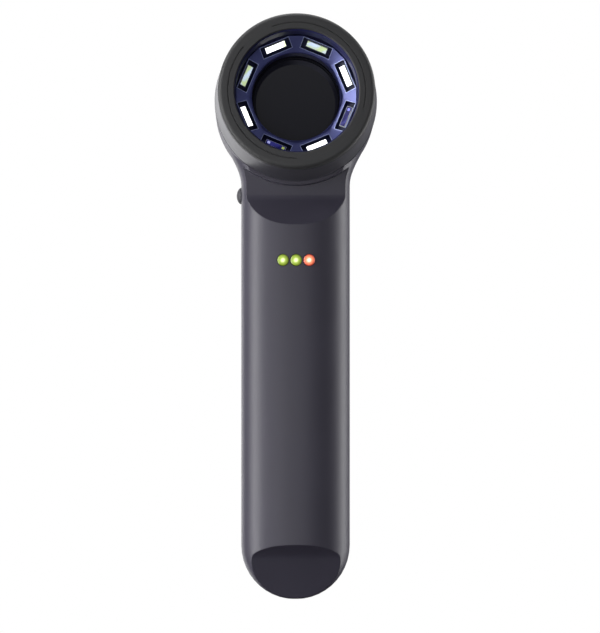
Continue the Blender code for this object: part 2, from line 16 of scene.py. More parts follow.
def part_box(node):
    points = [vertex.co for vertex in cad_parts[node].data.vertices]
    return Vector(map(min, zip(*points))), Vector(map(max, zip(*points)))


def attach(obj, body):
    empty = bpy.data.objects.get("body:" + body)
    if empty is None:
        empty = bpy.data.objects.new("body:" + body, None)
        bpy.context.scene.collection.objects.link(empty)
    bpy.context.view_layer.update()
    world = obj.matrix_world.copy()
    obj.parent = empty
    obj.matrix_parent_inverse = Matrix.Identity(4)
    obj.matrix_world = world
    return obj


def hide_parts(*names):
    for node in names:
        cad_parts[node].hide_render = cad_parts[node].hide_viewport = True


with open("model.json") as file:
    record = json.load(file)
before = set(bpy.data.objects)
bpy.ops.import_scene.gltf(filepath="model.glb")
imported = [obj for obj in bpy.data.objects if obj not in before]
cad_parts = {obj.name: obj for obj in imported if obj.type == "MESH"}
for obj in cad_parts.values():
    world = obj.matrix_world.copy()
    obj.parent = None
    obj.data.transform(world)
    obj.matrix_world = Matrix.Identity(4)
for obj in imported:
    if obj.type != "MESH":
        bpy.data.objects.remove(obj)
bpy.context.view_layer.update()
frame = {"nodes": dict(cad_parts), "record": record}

# %% [markdown]
# ## Directions and shared sizes
# The handle runs along Z. The lens looks along its own axis, which is tipped up a little from -Y.
# Everything round is modelled upright at the origin and laid on that axis at the end, because
# turning and scaling about a clean axis is easier than about a tilted one. The axis itself is
# read from the joint of the focusing ring.

# %% The optical axis
focus = next(j for j in frame["record"]["behaviour"]["joints"] if j["name"] == "focus_turn")
HEAD_PLACE = Vector(focus["pos_m"])
LENS_AXIS = Vector(focus["axis"]).normalized()
HEAD_TILT = math.asin(LENS_AXIS.z)
TO_HEAD = Matrix.Translation(HEAD_PLACE) @ Matrix.Rotation(math.pi / 2 - HEAD_TILT, 4, "X")
MM = 0.001
print("head tilt in degrees:", round(math.degrees(HEAD_TILT), 2))

# %% [markdown]
# ## Modelling helpers
# Each helper is one habit of modelling by hand: clear the selection, open a mesh for editing,
# choose by place, and close it again. A lathe is made the same way as on paper: one ring, which
# is extruded and scaled from step to step of the profile.


# %% Selection and editing helpers
def alone(obj):
    """Select this object and nothing else."""
    bpy.ops.object.select_all(action="DESELECT")
    obj.select_set(True)
    bpy.context.view_layer.objects.active = obj


def edit(obj, mode="VERT"):
    alone(obj)
    bpy.ops.object.mode_set(mode="EDIT")
    bpy.ops.mesh.select_mode(type=mode)
    bpy.ops.mesh.select_all(action="DESELECT")


def leave():
    bpy.ops.object.mode_set(mode="OBJECT")


def choose(obj, kind, test):
    """Select the vertices, edges or faces of an object in edit mode that pass a test."""
    bpy.ops.object.mode_set(mode="OBJECT")
    mesh = obj.data
    for item in getattr(mesh, kind):
        item.select = test(item)
    bpy.ops.object.mode_set(mode="EDIT")


def put(obj, matrix):
    """Lay a piece that was made at the origin in its place, and leave the object unturned."""
    alone(obj)
    obj.matrix_world = matrix
    bpy.ops.object.transform_apply(location=True, rotation=True, scale=True)
    return obj


def modify(obj, kind, **settings):
    """Add a modifier, set it and apply it."""
    alone(obj)
    step = obj.modifiers.new(kind.lower(), kind)
    for name, value in settings.items():
        setattr(step, name, value)
    bpy.ops.object.modifier_apply(modifier=step.name)


def join_shape(obj, other, operation):
    """Cut with, or add, another shape, which is used up."""
    modify(obj, "BOOLEAN", object=other, operation=operation, solver="EXACT")
    bpy.data.objects.remove(other, do_unlink=True)


def soften(obj, degrees=32):
    alone(obj)
    bpy.ops.object.shade_smooth_by_angle(angle=math.radians(degrees))


def mend(obj):
    """Merge doubled points and turn every face outwards."""
    edit(obj)
    bpy.ops.mesh.select_all(action="SELECT")
    bpy.ops.mesh.remove_doubles(threshold=0.000002)
    bpy.ops.mesh.normals_make_consistent(inside=False)
    leave()


print("helpers ready")


# %% The lathe and the box
def lathe(name, profile, closed=True, segments=96):
    """Turn a profile of (radius, height) in millimetres about Z, ring by ring."""
    rings = [(r * MM, h * MM) for r, h in profile]
    start = 0 if rings[0][0] > 0 else 1
    last = len(rings) if rings[-1][0] > 0 else len(rings) - 1
    radius, height = rings[start]
    bpy.ops.object.select_all(action="DESELECT")
    bpy.ops.mesh.primitive_circle_add(vertices=segments, radius=radius, fill_type="NOTHING",
                                      location=(0, 0, height))
    obj = bpy.context.object
    obj.name = name
    bpy.ops.object.transform_apply(location=True, rotation=False, scale=False)
    bpy.ops.object.mode_set(mode="EDIT")
    bpy.ops.mesh.select_mode(type="VERT")
    bpy.ops.mesh.select_all(action="SELECT")
    steps = rings[start + 1:last] + ([rings[0]] if closed else [])
    for next_radius, next_height in steps:
        bpy.ops.mesh.extrude_region_move(
            TRANSFORM_OT_translate={"value": (0, 0, next_height - height)})
        scale = next_radius / radius
        bpy.ops.transform.resize(value=(scale, scale, 1), center_override=(0, 0, next_height))
        radius, height = next_radius, next_height
    if not closed:
        close_end(rings[-1], height)
        bpy.ops.mesh.select_all(action="DESELECT")
        bpy.ops.object.mode_set(mode="OBJECT")
        for vert in obj.data.vertices:
            vert.select = vert.index < segments
        bpy.ops.object.mode_set(mode="EDIT")
        close_end(rings[0], rings[start][1])
    leave()
    mend(obj)
    return obj


def close_end(end, height):
    """Close the chosen ring: to a pole where the profile ends on the axis, else with a face."""
    if end[0] > 0:
        bpy.ops.mesh.edge_face_add()
        return
    bpy.ops.mesh.extrude_region_move(TRANSFORM_OT_translate={"value": (0, 0, end[1] - height)})
    bpy.ops.mesh.merge(type="CENTER")


def block(name, low, high):
    """A box between two corners, in millimetres."""
    bpy.ops.object.select_all(action="DESELECT")
    bpy.ops.mesh.primitive_cube_add(size=1)
    obj = bpy.context.object
    obj.name = name
    size = [(h - l) * MM for l, h in zip(low, high)]
    middle = [(h + l) / 2 * MM for l, h in zip(low, high)]
    return put(obj, Matrix.Translation(middle) @ Matrix.Diagonal((*size, 1)))


def peg(name, radius, start, end, segments=32):
    """A round bar between two points, in millimetres."""
    start, end = Vector(start) * MM, Vector(end) * MM
    along = end - start
    bpy.ops.object.select_all(action="DESELECT")
    bpy.ops.mesh.primitive_cylinder_add(vertices=segments, radius=radius * MM,
                                        depth=along.length)
    obj = bpy.context.object
    obj.name = name
    turn = along.to_track_quat("Z", "Y").to_matrix().to_4x4()
    return put(obj, Matrix.Translation((start + end) / 2) @ turn)


print("lathe and block ready")

# %% [markdown]
# ## Finishes
# The casing is a dark blue-grey plastic with a soft-touch coat. Such a coat scatters light widely,
# so its highlights are broad bands, and a very fine grain breaks them up. The bump is only a few
# hundredths of a millimetre. A rounding node on the shader softens the edges of each cut, which
# on the real part have a radius of about a third of a millimetre.


# %% A helper for finishes
def finish(name, colour, roughness, metallic=0.0, grain=0.0, grain_size=0.0004, mottle=0.0,
           rounding=0.0, specular=0.5, coat=0.0):
    """A principled finish with a fine grain, an uneven tone and softly rounded edges."""
    made = bpy.data.materials.new(name)
    made.use_nodes = True
    nodes, links = made.node_tree.nodes, made.node_tree.links
    shader = nodes["Principled BSDF"]
    shader.inputs["Base Color"].default_value = (*colour, 1.0)
    shader.inputs["Roughness"].default_value = roughness
    shader.inputs["Metallic"].default_value = metallic
    shader.inputs["Specular IOR Level"].default_value = specular
    shader.inputs["Coat Weight"].default_value = coat
    place = nodes.new("ShaderNodeTexCoord")
    if mottle:
        cloud = nodes.new("ShaderNodeTexNoise")
        cloud.inputs["Scale"].default_value = 60.0
        cloud.inputs["Detail"].default_value = 6.0
        links.new(place.outputs["Object"], cloud.inputs["Vector"])
        tone = nodes.new("ShaderNodeMapRange")
        tone.inputs["From Min"].default_value = 0.3
        tone.inputs["From Max"].default_value = 0.7
        tone.inputs["To Min"].default_value = 1.0 - mottle
        tone.inputs["To Max"].default_value = 1.0 + mottle
        links.new(cloud.outputs["Fac"], tone.inputs["Value"])
        shade = nodes.new("ShaderNodeVectorMath")
        shade.operation = "SCALE"
        shade.inputs[0].default_value = colour
        links.new(tone.outputs["Result"], shade.inputs["Scale"])
        links.new(shade.outputs["Vector"], shader.inputs["Base Color"])
        sheen = nodes.new("ShaderNodeMapRange")
        sheen.inputs["To Min"].default_value = max(roughness - 0.05, 0.02)
        sheen.inputs["To Max"].default_value = roughness + 0.05
        links.new(cloud.outputs["Fac"], sheen.inputs["Value"])
        links.new(sheen.outputs["Result"], shader.inputs["Roughness"])
    normal = None
    if rounding:
        round_edge = nodes.new("ShaderNodeBevel")
        round_edge.samples = 6
        round_edge.inputs["Radius"].default_value = rounding
        normal = round_edge.outputs["Normal"]
        links.new(normal, shader.inputs["Normal"])
    if grain:
        noise = nodes.new("ShaderNodeTexNoise")
        noise.inputs["Scale"].default_value = 1.0 / grain_size
        noise.inputs["Detail"].default_value = 2.0
        links.new(place.outputs["Object"], noise.inputs["Vector"])
        bump = nodes.new("ShaderNodeBump")
        bump.inputs["Strength"].default_value = grain
        bump.inputs["Distance"].default_value = 0.00004
        links.new(noise.outputs["Fac"], bump.inputs["Height"])
        if normal:
            links.new(normal, bump.inputs["Normal"])
        links.new(bump.outputs["Normal"], shader.inputs["Normal"])
    return made


def dress(obj, paint, slot, body, *nodes):
    """Give a finished piece its finish, its body and the nodes it stands for. The slot is not used.
    """
    obj.data.materials.clear()
    obj.data.materials.append(paint)
    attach(obj, body)
    if nodes:
        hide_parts(*nodes)
    print(obj.name, len(obj.data.polygons), "faces")


casing_paint = finish("soft_touch_casing", (0.034, 0.031, 0.047), 0.48, grain=0.35,
                      mottle=0.05, rounding=0.00028)
drum_paint = finish("drum_plastic", (0.036, 0.035, 0.044), 0.44, grain=0.25, mottle=0.04,
                    rounding=0.00025)
seat_paint = finish("seat_black", (0.021, 0.021, 0.022), 0.60, grain=0.30,
                    grain_size=0.0006, mottle=0.05, rounding=0.0001)
# Dark navy for the recess wall, the gap round the carrier and the lamp board: painted shade.
recess_shade_paint = finish("recess_liner", (0.010, 0.011, 0.060), 0.60, mottle=0.05, specular=0.25)
dull_black = finish("dull_black", (0.010, 0.010, 0.012), 0.60, grain=0.2)
grip_paint = finish("focus_grip_black", (0.024, 0.024, 0.026), 0.52, grain=0.4, mottle=0.05)
rubber_paint = finish("soft_rim_rubber", (0.020, 0.020, 0.022), 0.75, grain=0.5, mottle=0.08)
steel_paint = finish("screw_steel", (0.32, 0.32, 0.33), 0.34, metallic=1.0, mottle=0.08)
glass_paint = finish("coated_lens", (0.010, 0.010, 0.016), 0.06, specular=0.45, coat=0.3)
print("finishes:", len(bpy.data.materials))

# %% [markdown]
# ## The casing
# The casing is two moulded shells that meet in a plane along the sides. Its handle has one rounded
# section all the way, closed by a round tail, and it swells into the head in a smooth curve. A
# loft of rings makes this shape: one ring is shaped first, and it is then extruded and scaled from
# height to height. The head's round body is added to it, and the two thumb scoops are cut with
# blocks whose inner edge is rounded, as a moulded scoop's is.

# %% Casing sizes
HALF_WIDTH, HALF_DEPTH = 16.8, 12.5
SECTION_POWER = 2.5
TAIL_CENTRE = -57.2
NECK_START, NECK_END, NECK_TOP, NECK_GROWTH = 54.0, 73.5, 79.0, 7.0
HEAD_HEIGHT = HEAD_PLACE.z / MM
HEAD_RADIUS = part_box("front_shell")[1][0] / MM
HEAD_FACE, HEAD_BACK, HEAD_ROUND = 7.0, -14.0, 5.0
LIP_RADIUS = 25.9
NECK_FLOOR = (-6.8, 49.9)
NECK_EDGE = (-HALF_DEPTH, 41.6)
TAIL_FLOOR = (-8.6, -59.6)
TAIL_END = (-1.2, -80.0)
TAIL_EDGE = (-HALF_DEPTH, -56.1)
SCOOP_OUT = -16.0
SEAM = 0.15
print("head radius in millimetres:", round(HEAD_RADIUS, 2))


# %% The casing's loft
def neck_half_width(z):
    """Half the width of the casing at a height: the handle, swelling into the head."""
    t = min(max((z - NECK_START) / (NECK_END - NECK_START), 0.0), 1.0)
    return HALF_WIDTH + NECK_GROWTH * t * t * (3.0 - 2.0 * t)


def casing_rings():
    """Height, half width and half depth of each ring of the loft."""
    rings = []
    for degrees in (5, 11, 18, 26, 34, 42, 50, 58, 66, 74, 82):
        across, along = math.sin(math.radians(degrees)), math.cos(math.radians(degrees))
        rings.append((TAIL_CENTRE - HALF_WIDTH * along, HALF_WIDTH * across, HALF_DEPTH * across))
    rings += [(z, HALF_WIDTH, HALF_DEPTH) for z in (TAIL_CENTRE, -30.0, 0.0, 30.0, NECK_START)]
    count = 20
    for i in range(1, count + 1):
        z = NECK_START + (NECK_TOP - NECK_START) * i / count
        rings.append((z, neck_half_width(z), HALF_DEPTH))
    return rings


def casing_loft(name, segments=112):
    """Shape the first ring to the section, then extrude and scale it up the handle."""
    rings = casing_rings()
    z, width, depth = rings[0]
    bpy.ops.object.select_all(action="DESELECT")
    bpy.ops.mesh.primitive_circle_add(vertices=segments, radius=1.0, fill_type="NGON")
    obj = bpy.context.object
    obj.name = name
    for vert in obj.data.vertices:
        angle = math.atan2(vert.co.y, vert.co.x)
        c, s = math.cos(angle), math.sin(angle)
        vert.co.x = width * MM * math.copysign(abs(c) ** (2.0 / SECTION_POWER), c)
        vert.co.y = depth * MM * math.copysign(abs(s) ** (2.0 / SECTION_POWER), s)
        vert.co.z = z * MM
    bpy.ops.object.mode_set(mode="EDIT")
    bpy.ops.mesh.select_mode(type="VERT")
    bpy.ops.mesh.select_all(action="SELECT")
    for next_z, next_width, next_depth in rings[1:]:
        bpy.ops.mesh.extrude_region_move(
            TRANSFORM_OT_translate={"value": (0, 0, (next_z - z) * MM)})
        bpy.ops.transform.resize(value=(next_width / width, next_depth / depth, 1),
                                 center_override=(0, 0, next_z * MM))
        z, width, depth = next_z, next_width, next_depth
    leave()
    mend(obj)
    return obj


def wedge(name, floor, edge, end):
    """A scoop cutter: a block whose ramp runs out past the casing, with a rounded inner edge."""
    (floor_y, floor_z), (edge_y, edge_z), (far_y, far) = floor, edge, end
    end_z = edge_z + (SCOOP_OUT - edge_y) * (floor_z - edge_z) / (floor_y - edge_y)
    obj = block(name, (-35, SCOOP_OUT, min(floor_z, far)), (35, floor_y, max(floor_z, far)))
    edit(obj)
    choose(obj, "vertices", lambda v: v.co.y > (floor_y - 0.1) * MM
           and abs(v.co.z - far * MM) < 0.0001)
    bpy.ops.transform.translate(value=(0, (far_y - floor_y) * MM, 0))
    leave()
    edit(obj)
    choose(obj, "vertices", lambda v: v.co.y < (SCOOP_OUT + 0.1) * MM
           and abs(v.co.z - floor_z * MM) < 0.0001)
    bpy.ops.transform.translate(value=(0, 0, (end_z - floor_z) * MM))
    bpy.ops.mesh.select_mode(type="EDGE")
    choose(obj, "edges", lambda e: all(abs(obj.data.vertices[i].co.y - floor_y * MM) < 0.0001
                                       and abs(obj.data.vertices[i].co.z - floor_z * MM) < 0.0001
                                       for i in e.vertices))
    bpy.ops.mesh.bevel(offset=0.0012, segments=6)
    leave()
    mend(obj)
    return obj


loft = casing_loft("casing_loft")
print("loft:", len(loft.data.polygons), "faces")


# %% The head's body, the scoops and the openings
def head_body(name, radius, front, back, rounding):
    """A round body with a flat front and a rounded back edge."""
    profile = [(0, front), (radius, front)]
    for i in range(10):
        angle = math.radians(10.0 * i)
        profile.append((radius - rounding + rounding * math.cos(angle),
                        back + rounding - rounding * math.sin(angle)))
    return put(lathe(name, profile + [(0, back)], closed=False, segments=128), TO_HEAD)


join_shape(loft, head_body("head_body", HEAD_RADIUS, HEAD_FACE + 1.8, HEAD_BACK, HEAD_ROUND),
           "UNION")
neck_cutter = wedge("neck_cutter", NECK_FLOOR, NECK_EDGE, (NECK_FLOOR[0], 95.0))
join_shape(neck_cutter, put(peg("lip_guard", LIP_RADIUS, (0, 0, -20), (0, 0, 30), 160), TO_HEAD),
           "DIFFERENCE")
join_shape(loft, neck_cutter, "DIFFERENCE")
join_shape(loft, put(block("face_cutter", (-30, -27.2, HEAD_FACE), (30, 30, 40)), TO_HEAD),
           "DIFFERENCE")
join_shape(loft, wedge("tail_cutter", TAIL_FLOOR, TAIL_EDGE, TAIL_END), "DIFFERENCE")

BUTTON_HEIGHT = (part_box("button_cap")[0][2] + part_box("button_cap")[1][2]) / 2 / MM
STATUS_PLACES = [[(a + b) / 2 / MM for a, b in zip(*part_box(f"light_pipe_{i}"))]
                 for i in (1, 2, 3)]
CASE_SCREWS = [[(a + b) / 2 / MM for a, b in zip(*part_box(f"case_screw_{i}"))]
               for i in (1, 2, 3, 4)]
STATUS_RADIUS = 1.72
openings = [put(peg("bore", 19.8, (0, 0, -20), (0, 0, 3), 128), TO_HEAD),
            put(peg("front_bore", 17.6, (0, 0, 2), (0, 0, 12), 128), TO_HEAD),
            peg("button_hole", 2.85, (-20, 0, BUTTON_HEIGHT), (-13, 0, BUTTON_HEIGHT), 48),
            block("socket_hole", (-4.8, -1.9, -78), (4.8, 1.9, -64))]
for x, _, z in STATUS_PLACES:
    openings.append(peg("pipe_hole", STATUS_RADIUS + 0.12, (x, -14, z), (x, -11.2, z), 40))
for x, _, z in CASE_SCREWS:
    openings.append(peg("screw_well", 2.3, (x, 8.2, z), (x, 14, z), 40))
for opening in openings:
    join_shape(loft, opening, "DIFFERENCE")
print("casing cut:", len(loft.data.polygons), "faces")

# %% [markdown]
# ## Splitting the casing
# The two shells are copies of the whole, each with the other half cut away. A hair of space is
# left between them, because it is that gap, and not a drawn line, which reads as a mould seam.


# %% Two shells
def shell_half(name, front):
    alone(loft)
    bpy.ops.object.duplicate()
    half = bpy.context.object
    half.name = name
    low, high = (-SEAM, 40) if front else (-40, SEAM)
    join_shape(half, block("other_half", (-40, low, -90), (40, high, 120)), "DIFFERENCE")
    mend(half)
    soften(half, 28)
    return half


front_casing = shell_half("front_casing", True)
rear_casing = shell_half("rear_casing", False)
bpy.data.objects.remove(loft, do_unlink=True)
dress(front_casing, casing_paint, "casing", "casing", "front_shell")
dress(rear_casing, casing_paint, "casing", "casing", "rear_shell")

# %% [markdown]
# ## The head: drum, seat ring and recess
# The drum is the dark wall that leads from the casing to the skin. It is slightly tapered, and it
# spreads into a soft lip where it stands on the casing, so the profile curves out over the last few
# millimetres. The seat ring in front of it carries the contact plate. A fine groove runs round it
# with two gaps, and that groove is cut with two bars bent to its arcs.


# %% Drum, and a dark sheet of painted shade on the recess wall
def flank_profile():
    """The outside of the drum, from the seat down to the lip: a straight draft, then a flare."""
    points = [(23.4, 22.3), (23.62, 22.2), (23.7, 21.9)]
    for i in range(1, 11):
        t = i / 10
        points.append((23.7 + 0.55 * t + 0.55 * t ** 4, 21.9 - 14.4 * t))
    return points + [(24.8, 7.3)]


drum = lathe("drum", [(18.7, 22.3)] + flank_profile() + [(18.6, 7.3), (18.6, 9.5), (20.2, 9.5),
                                                         (20.2, 17.3), (18.7, 17.3)],
             segments=160)
put(drum, TO_HEAD)
soften(drum, 35)
dress(drum, drum_paint, "drum", "casing", "head_drum")

# The recess wall is covered with a dark navy sheet, darker than the drum: painted shade in the
# recess.
recess_shade_sheet = lathe("recess_liner", [(18.62, 24.55), (18.62, 17.5), (18.5, 17.5), (18.35, 18.2),
                               (18.35, 24.2)], segments=128)
put(recess_shade_sheet, TO_HEAD)
soften(recess_shade_sheet, 35)
dress(recess_shade_sheet, recess_shade_paint, "drum", "casing")


# %% Seat ring with its broken groove
def arc_bar(name, section, start, end, steps=96):
    """A bar of one section, (radius, height) in millimetres, bent round Z between two angles."""
    corners = len(section)
    points, faces = [], []
    for i in range(steps + 1):
        angle = math.radians(start + (end - start) * i / steps)
        for r, h in section:
            points.append((r * MM * math.cos(angle), r * MM * math.sin(angle), h * MM))
    for i in range(steps):
        for k in range(corners):
            low, high = i * corners, (i + 1) * corners
            faces.append((low + k, low + (k + 1) % corners, high + (k + 1) % corners, high + k))
    faces.append(tuple(range(corners)))
    faces.append(tuple(steps * corners + k for k in range(corners)))
    mesh = bpy.data.meshes.new(name)
    mesh.from_pydata(points, [], faces)
    obj = bpy.data.objects.new(name, mesh)
    bpy.context.collection.objects.link(obj)
    mend(obj)
    return obj


SEAT_FRONT = 25.0
seat_profile = [(18.7, 24.75), (18.95, SEAT_FRONT), (22.3, SEAT_FRONT)]
for i in range(1, 10):
    angle = math.radians(10.0 * i)
    seat_profile.append((22.3 + 1.3 * math.sin(angle), 23.7 + 1.3 * math.cos(angle)))
seat = lathe("seat_ring_face", seat_profile + [(23.6, 22.6), (18.7, 22.6)], segments=180)
for start, end in ((-16, 111), (140, 270)):
    groove = arc_bar("groove", [(20.45, 24.72), (20.78, 24.72), (20.78, 25.4), (20.45, 25.4)],
                     start, end)
    join_shape(seat, groove, "DIFFERENCE")
put(seat, TO_HEAD)
soften(seat, 12)
dress(seat, seat_paint, "seat", "casing", "seat_ring")

# %% [markdown]
# ## The lamp carrier
# The carrier is a ring of eight flat bays that slope in towards the lens. Each bay is a rectangle,
# so the pieces left between them are wedges, wide outside and narrow inside. The ring is lofted
# with one point at each end of a bay. A pocket is then cut into each bay with a block, and its
# faces get a much darker blue: painted shade in the recess. A thin frame of lighter blue round its
# mouth is a painted highlight along the edge.


# %% Paints of the carrier
carrier_paint = finish("blue_carrier", (0.110, 0.125, 0.330), 0.40, metallic=0.40, mottle=0.12,
                       rounding=0.00008)
# Lighter blue for the frames round the pockets: a painted highlight along their edges.
highlight_edge_paint = finish("bright_blue_edge", (0.42, 0.48, 0.80), 0.35, metallic=0.2, mottle=0.05)
# Much darker blue for the floors and walls of the pockets: painted shade in the recesses.
pocket_shade_paint = finish("dark_pocket", (0.009, 0.012, 0.045), 0.50, mottle=0.1, specular=0.3)
BAY_ANGLES = [22.5 + 45.0 * k for k in range(8)]
BAY_HALF = 4.95
BAY_INNER = (12.6, 13.3)
BAY_OUTER = (17.55, 16.7)
BAY_MIDDLE = 15.95
BAY_SLOPE = math.atan2(BAY_OUTER[1] - BAY_INNER[1], BAY_OUTER[0] - BAY_INNER[0])
POCKET_HALF = (1.80, 4.65)
POCKET_DEPTH = 1.35


# %% Loft of the carrier
def bay_ring(name, rings):
    """Loft rings of eight bays. Each ring is the distance of the bay from the axis, and a height."""
    bpy.ops.object.select_all(action="DESELECT")
    bpy.ops.mesh.primitive_circle_add(vertices=16, radius=rings[0][0] * MM, fill_type="NOTHING",
                                      rotation=(0, 0, math.radians(11.25)))
    obj = bpy.context.object
    obj.name = name
    bpy.ops.object.transform_apply(location=False, rotation=True, scale=False)
    for step, (reach, height) in enumerate(rings + rings[:1]):
        if step:
            bpy.ops.object.mode_set(mode="EDIT")
            bpy.ops.mesh.extrude_region_move(TRANSFORM_OT_translate={"value": (0, 0, 0.001)})
            leave()
        for vert in obj.data.vertices:
            if step and not vert.select:
                continue
            angle = math.degrees(math.atan2(vert.co.y, vert.co.x))
            bay = min(BAY_ANGLES, key=lambda a: abs((angle - a + 180) % 360 - 180))
            side = math.copysign(BAY_HALF, (angle - bay + 180) % 360 - 180)
            c, s = math.cos(math.radians(bay)), math.sin(math.radians(bay))
            vert.co = Vector((reach * c - side * s, reach * s + side * c, height)) * MM
            vert.select = True
    mend(obj)
    return obj


carrier = bay_ring("lamp_ring", [(12.6, 12.4), BAY_INNER, BAY_OUTER, (17.75, 16.6),
                                 (17.75, 11.6)])
join_shape(carrier, peg("carrier_bore", 13.75, (0, 0, 5), (0, 0, 30), 128), "DIFFERENCE")
print("carrier:", len(carrier.data.polygons), "faces")


# %% Pockets in the bays
carrier.data.materials.append(carrier_paint)
carrier.data.materials.append(highlight_edge_paint)
carrier.data.materials.append(pocket_shade_paint)


def bay_frame(angle):
    """Stand in the middle of a bay: X runs outwards up the slope and Z out of the face."""
    height = BAY_INNER[1] + (BAY_MIDDLE - BAY_INNER[0]) * math.tan(BAY_SLOPE)
    middle = Vector((BAY_MIDDLE, 0, height)) * MM
    return (Matrix.Rotation(math.radians(angle), 4, "Z") @ Matrix.Translation(middle)
            @ Matrix.Rotation(-BAY_SLOPE, 4, "Y"))


half_x, half_y = POCKET_HALF
for angle in BAY_ANGLES:
    cut = put(block("pocket", (-half_x, -half_y, -POCKET_DEPTH), (half_x, half_y, 1.5)),
              bay_frame(angle))
    join_shape(carrier, cut, "DIFFERENCE")


def in_pocket(face):
    """True for a face on the floor or the walls of a pocket."""
    for angle in BAY_ANGLES:
        at = bay_frame(angle).inverted() @ face.center / MM
        if abs(at.x) < 1.85 and abs(at.y) < 4.7 and -1.4 < at.z < -0.05:
            return True
    return False


# Pocket faces take the darker paint, as painted shade in the recesses.
for face in carrier.data.polygons:
    face.material_index = 2 if in_pocket(face) else 0
print("carrier with pockets:", len(carrier.data.polygons), "faces")

# %% Painted highlights: lighter frames round the pockets
edges = []
for angle in BAY_ANGLES:
    highlight_frame = block("pocket_edge", (-1.98, -4.83, -0.05), (1.98, 4.83, 0.06))
    join_shape(highlight_frame, block("inner", (-1.81, -4.66, -1), (1.81, 4.66, 1)), "DIFFERENCE")
    edges.append(put(highlight_frame, bay_frame(angle)))
alone(edges[0])
for other in edges:
    other.select_set(True)
bpy.ops.object.join()
bay_edges = bpy.context.object
bay_edges.name = "bay_edges"
for piece in (carrier, bay_edges):
    put(piece, TO_HEAD)
soften(carrier, 25)
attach(carrier, "casing")
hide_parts("led_carrier")
dress(bay_edges, highlight_edge_paint, "carrier", "casing")

sleeve = lathe("inner_sleeve", [(13.45, 14.05), (13.55, 14.2), (13.68, 14.2), (13.74, 14.1),
                                (13.74, 9.75), (13.45, 9.75)], segments=128)
put(sleeve, TO_HEAD)
soften(sleeve, 30)
dress(sleeve, finish("sleeve_blue", (0.030, 0.035, 0.140), 0.35, metallic=0.4, mottle=0.1),
      "carrier", "casing")

# A dark navy ring closes the gap between the carrier and the recess wall: painted shade in the gap.
carrier_base = lathe("carrier_base", [(17.9, 13.6), (19.85, 13.6), (19.85, 11.5),
                                      (17.9, 11.5)], segments=128)
put(carrier_base, TO_HEAD)
soften(carrier_base, 30)
dress(carrier_base, recess_shade_paint, "carrier", "casing")

# %% [markdown]
# ## The lamps
# Eight lamps light the skin. Four are open and white. Of the other four, two look half lit and two
# look dark violet, as lamps behind a polarising film would. Each lamp is a white package with a
# window that glows unevenly.


# %% Lamp paints
def glow(name, near, far, strength, split=0.5, sharp=0.3):
    """A lit window whose colour drifts between two tones in soft patches."""
    made = bpy.data.materials.new(name)
    made.use_nodes = True
    nodes, links = made.node_tree.nodes, made.node_tree.links
    shader = nodes["Principled BSDF"]
    shader.inputs["Roughness"].default_value = 0.35
    shader.inputs["Specular IOR Level"].default_value = 0.15
    shader.inputs["Emission Strength"].default_value = strength
    place = nodes.new("ShaderNodeTexCoord")
    noise = nodes.new("ShaderNodeTexNoise")
    noise.inputs["Scale"].default_value = 420.0
    noise.inputs["Detail"].default_value = 1.0
    links.new(place.outputs["Object"], noise.inputs["Vector"])
    ramp = nodes.new("ShaderNodeValToRGB")
    ramp.color_ramp.elements[0].position = split - sharp / 2
    ramp.color_ramp.elements[0].color = (*near, 1)
    ramp.color_ramp.elements[1].position = split + sharp / 2
    ramp.color_ramp.elements[1].color = (*far, 1)
    links.new(noise.outputs["Fac"], ramp.inputs["Fac"])
    links.new(ramp.outputs["Color"], shader.inputs["Base Color"])
    links.new(ramp.outputs["Color"], shader.inputs["Emission Color"])
    return made


open_glow = glow("open_lamp_glow", (1.0, 1.0, 1.0), (0.40, 0.47, 0.27), 3.2, 0.62, 0.20)
half_glow = glow("half_lit_lamp", (0.62, 0.74, 0.95), (0.55, 0.68, 0.36), 0.75, 0.5, 0.2)
film_glow = glow("filmed_lamp", (0.008, 0.008, 0.08), (0.03, 0.03, 0.18), 0.6, 0.55, 0.2)
# Two paints for small painted glints on the dark lamps.
yellow_glint_glow = glow("phosphor_glint", (0.26, 0.34, 0.06), (0.40, 0.48, 0.12), 0.7, 0.5, 0.2)
violet_glow = glow("violet_glint", (0.20, 0.20, 0.62), (0.42, 0.44, 0.80), 0.7, 0.5, 0.2)
package_paint = finish("lamp_package", (0.55, 0.57, 0.60), 0.4, mottle=0.05)
LAMP_LOOKS = [open_glow, half_glow, open_glow, half_glow, open_glow, film_glow, open_glow,
              film_glow]


# %% Lamp packages
for number, angle in enumerate(BAY_ANGLES, start=1):
    lamp = block(f"lamp_{number}", (-1.0, -3.25, -1.3), (1.0, 3.25, -0.55))
    edit(lamp, "FACE")
    choose(lamp, "polygons", lambda f: f.normal.z > 0.9)
    bpy.ops.mesh.inset(thickness=0.00012)
    leave()
    lamp.data.materials.append(package_paint)
    lamp.data.materials.append(LAMP_LOOKS[number - 1])
    for face in lamp.data.polygons:
        lit = face.normal.z > 0.9 and face.area > 0.000008
        face.material_index = 1 if lit else 0
    put(lamp, TO_HEAD @ bay_frame(angle))
    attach(lamp, "casing")
    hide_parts(f"illumination_led_{number}")
# Three small glowing patches on the dark lamps are painted glints: painted reflections on their
# film, not lamp light.
GLINTS = (("glint_low", 6, 2.4, yellow_glint_glow), ("glint_low_violet", 6, -2.3, violet_glow),
          ("glint_side", 8, 2.3, violet_glow))
for name, number, place, paint in GLINTS:
    glint = block(name, (-0.45, place - 0.42, -0.56), (0.45, place + 0.42, -0.50))
    put(glint, TO_HEAD @ bay_frame(BAY_ANGLES[number - 1]))
    dress(glint, paint, "lamp", "casing")
print("lamps:", len(BAY_ANGLES))

# %% [markdown]
# ## Lenses and their cell
# The lenses are dark because nothing lit stands behind them. Each is turned from a true arc, and
# the cell's front lip holds the first one.


